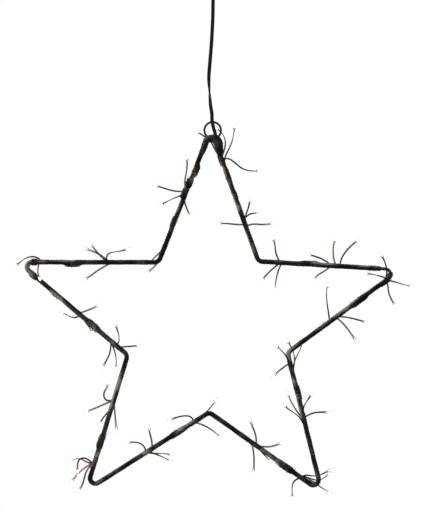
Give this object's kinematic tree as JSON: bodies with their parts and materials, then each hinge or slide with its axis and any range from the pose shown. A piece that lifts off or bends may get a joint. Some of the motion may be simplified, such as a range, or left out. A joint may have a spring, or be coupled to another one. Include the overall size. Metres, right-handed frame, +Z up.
{
  "type": "led christmas star",
  "caption": "Pointed star outline of bent black rod, wound with cloth tape and lit wire twigs, hung by its flat twin lead through a small ring.",
  "frame": {"origin": "inner top of the lead's hanging loop, where a hook carries it", "axes": "+Z up, +X to the right as seen from the front, the star's face towards -Y"},
  "size_m": [0.4398, 0.0601, 0.5929],
  "materials": {
    "black_paint": "satin black powder coat",
    "cloth_tape": "matte black wound cloth tape",
    "lacquered_wire": "dark red-brown lacquered wire pairs with clear drops at the tips",
    "led_drop": "clear resin drop round a lit warm white diode",
    "cable_sheath": "satin black flexible sheath",
    "shrink_sleeve": "matte black shrink sleeve"
  },
  "bodies": {
    "hanger": {"lead_loop": "cable_sheath", "lead_knot": "cable_sheath"},
    "lead": {"hanging_lead": "cable_sheath"},
    "star": {"star_frame": "black_paint", "hanging_ring": "black_paint", "string_trunk": "lacquered_wire", "wire_winding": "lacquered_wire", "lead_splice": "shrink_sleeve", "lead_tail": "cable_sheath", "apex_binding": "cloth_tape", "light_cluster_01": "lacquered_wire", "light_cluster_02": "lacquered_wire", "light_cluster_03": "lacquered_wire", "light_cluster_04": "lacquered_wire", "light_cluster_05": "lacquered_wire", "light_cluster_06": "lacquered_wire", "light_cluster_07": "lacquered_wire", "light_cluster_08": "lacquered_wire", "light_cluster_09": "lacquered_wire", "light_cluster_10": "lacquered_wire", "light_cluster_11": "lacquered_wire", "light_cluster_12": "lacquered_wire", "light_cluster_13": "lacquered_wire", "light_cluster_14": "lacquered_wire", "light_cluster_15": "lacquered_wire", "light_cluster_16": "lacquered_wire", "light_cluster_17": "lacquered_wire", "light_cluster_18": "lacquered_wire", "light_cluster_19": "lacquered_wire", "light_cluster_20": "lacquered_wire", "tape_wrap_01": "cloth_tape", "tape_wrap_02": "cloth_tape", "tape_wrap_03": "cloth_tape", "tape_wrap_04": "cloth_tape", "tape_wrap_05": "cloth_tape", "tape_wrap_06": "cloth_tape", "tape_wrap_07": "cloth_tape", "tape_wrap_08": "cloth_tape", "tape_wrap_09": "cloth_tape", "tape_wrap_10": "cloth_tape", "tape_wrap_11": "cloth_tape", "tape_wrap_12": "cloth_tape", "tape_wrap_13": "cloth_tape", "tape_wrap_14": "cloth_tape", "tape_wrap_15": "cloth_tape", "tape_wrap_16": "cloth_tape", "tape_wrap_17": "cloth_tape", "tape_wrap_18": "cloth_tape", "tape_wrap_19": "cloth_tape", "tape_wrap_20": "cloth_tape"}
  },
  "joints": [
    {"name": "lead_swing", "type": "hinge", "parent": "hanger", "child": "lead", "pos_m": [0, 0, -0.0313], "axis": [0, 1, 0], "range_deg": [-20, 20]},
    {"name": "star_turn", "type": "hinge", "parent": "lead", "child": "star", "pos_m": [0.001, 0, -0.1754], "axis": [0, 0, 1], "range_deg": [-180, 180], "stiffness_Nm_per_rad": 0.0008}
  ]
}
